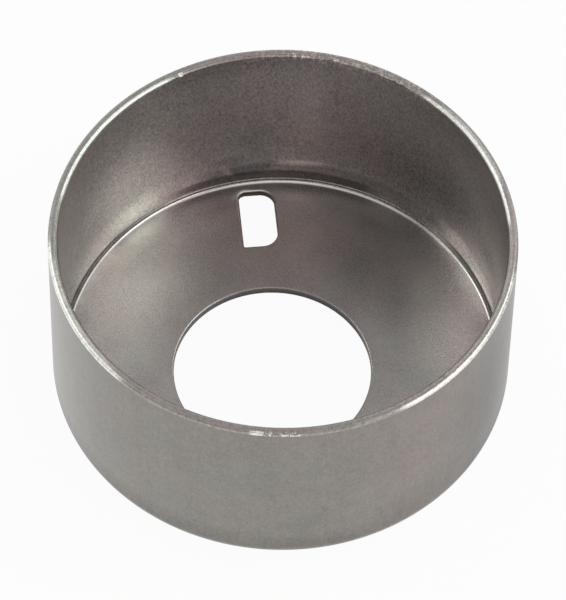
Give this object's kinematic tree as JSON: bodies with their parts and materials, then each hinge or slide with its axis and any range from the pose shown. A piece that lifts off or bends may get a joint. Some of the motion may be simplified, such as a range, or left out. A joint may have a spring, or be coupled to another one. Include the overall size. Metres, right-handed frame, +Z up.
{
  "type": "deep drawn metal cup",
  "caption": "Straight-walled drawn steel cup with an open mouth, a round hole off the floor's centre and a rounded slot beside it.",
  "frame": {"origin": "centre of the outside wall, on the underside of the floor", "axes": "+Z up the cup's axis, out of the mouth; +Y from the axis along the slot; +X to the right of it"},
  "size_m": [0.06, 0.06, 0.0291],
  "materials": {
    "drawn_steel": "bare drawn steel sheet, satin and slightly mottled, as it leaves the press"
  },
  "bodies": {
    "root": {"drawn_cup": "drawn_steel"}
  },
  "joints": []
}
